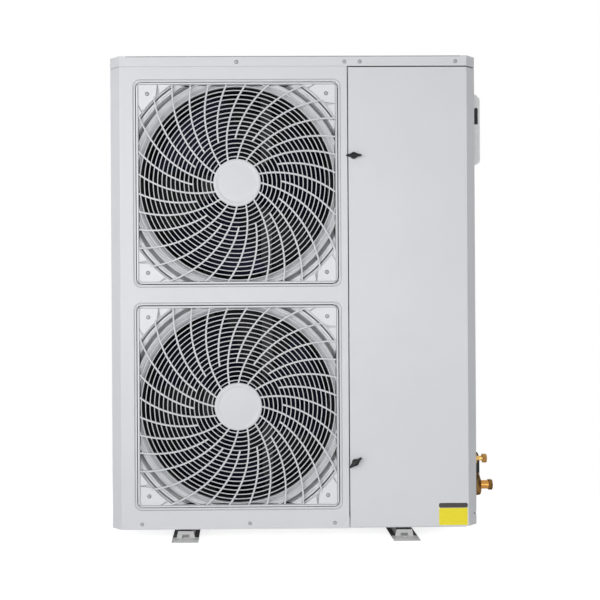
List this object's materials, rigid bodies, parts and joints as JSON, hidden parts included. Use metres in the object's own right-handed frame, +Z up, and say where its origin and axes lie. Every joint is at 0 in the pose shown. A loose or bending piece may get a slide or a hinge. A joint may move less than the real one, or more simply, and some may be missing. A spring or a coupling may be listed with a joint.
{
  "type": "refrigeration condensing unit",
  "caption": "Tall floor-standing condensing unit: axial fans behind swirl grilles blow forward, beside a hinged service door, with stop valves at one side and pressed feet.",
  "frame": {"origin": "on the floor, at the centre of the four anchor slots in the feet", "axes": "+X to the right seen from the front, -Y towards the front (fan discharge side), +Z up"},
  "size_m": [1.0592, 0.46, 1.316],
  "materials": {
    "painted_panel": "satin powder coat",
    "galvanised": "galvanised",
    "grille_plastic": "satin",
    "guard_wire": "satin",
    "coil_fins": "satin",
    "copper": "drawn copper",
    "brass": "machined",
    "black_plastic": "gloss",
    "knob_plastic": "satin",
    "black_paint": "semi-gloss",
    "motor_resin": "satin",
    "steel": "machined",
    "rubber": "matt",
    "foam": "felt",
    "terminal_plastic": "satin",
    "capacitor_case": "satin",
    "circuit_board": "satin",
    "sight_glass_brass": "machined"
  },
  "bodies": {
    "cabinet": {"base_pan": "painted_panel", "left_foot": "galvanised", "right_foot": "galvanised", "top_cover": "painted_panel", "fan_panel": "painted_panel", "right_side_panel": "painted_panel", "rear_panel": "painted_panel", "rear_left_post": "painted_panel", "partition": "galvanised", "door_seal": "foam", "door_header": "galvanised", "rear_coil_guard": "guard_wire", "left_coil_guard": "guard_wire", "condenser_coil": "coil_fins", "coil_end_plates": "galvanised", "coil_return_bends": "copper", "fan_motors": "motor_resin", "motor_rails": "galvanised", "compressor": "black_paint", "compressor_grommets": "rubber", "compressor_bolts": "steel", "compressor_terminal_cover": "knob_plastic", "liquid_receiver": "black_paint", "suction_accumulator": "black_paint", "filter_drier": "copper", "sight_glass": "sight_glass_brass", "discharge_pipe": "copper", "suction_pipe": "copper", "liquid_pipes": "copper", "pressure_switches": "brass", "electrical_tray": "galvanised", "contactor": "terminal_plastic", "run_capacitor": "capacitor_case", "terminal_block": "terminal_plastic", "controller_board": "circuit_board", "terminal_cover": "painted_panel", "cable_membrane": "rubber", "valve_bracket": "black_paint", "liquid_valve": "brass", "suction_valve": "brass", "valve_nuts": "brass", "hinge_brackets": "galvanised", "casing_screws": "steel", "grille_screws": "steel", "lower_bell_mouth": "painted_panel", "lower_grille": "grille_plastic", "upper_bell_mouth": "painted_panel", "upper_grille": "grille_plastic"},
    "upper_fan": {"upper_fan": "black_plastic", "upper_fan_shaft": "steel", "upper_fan_nut": "steel"},
    "lower_fan": {"lower_fan": "black_plastic", "lower_fan_shaft": "steel", "lower_fan_nut": "steel"},
    "door": {"service_door": "painted_panel", "door_insulation": "foam"},
    "upper_latch": {"upper_latch_knob": "knob_plastic", "upper_latch_tongue": "steel"},
    "lower_latch": {"lower_latch_knob": "knob_plastic", "lower_latch_tongue": "steel"}
  },
  "joints": [
    {"name": "upper_fan_spin", "type": "hinge", "parent": "cabinet", "child": "upper_fan", "pos_m": [-0.154, -0.1, 0.9705], "axis": [0, 1, 0], "continuous": true},
    {"name": "lower_fan_spin", "type": "hinge", "parent": "cabinet", "child": "lower_fan", "pos_m": [-0.154, -0.1, 0.364], "axis": [0, 1, 0], "continuous": true},
    {"name": "door_hinge", "type": "hinge", "parent": "cabinet", "child": "door", "pos_m": [0.489, -0.17, 0.65], "axis": [0, 0, 1], "range_deg": [0, 110]},
    {"name": "upper_latch_turn", "type": "hinge", "parent": "door", "child": "upper_latch", "pos_m": [0.1635, -0.2, 1.044], "axis": [0, -1, 0], "range_deg": [-90, 45]},
    {"name": "lower_latch_turn", "type": "hinge", "parent": "door", "child": "lower_latch", "pos_m": [0.1635, -0.2, 0.209], "axis": [0, -1, 0], "range_deg": [-130, 5]}
  ]
}
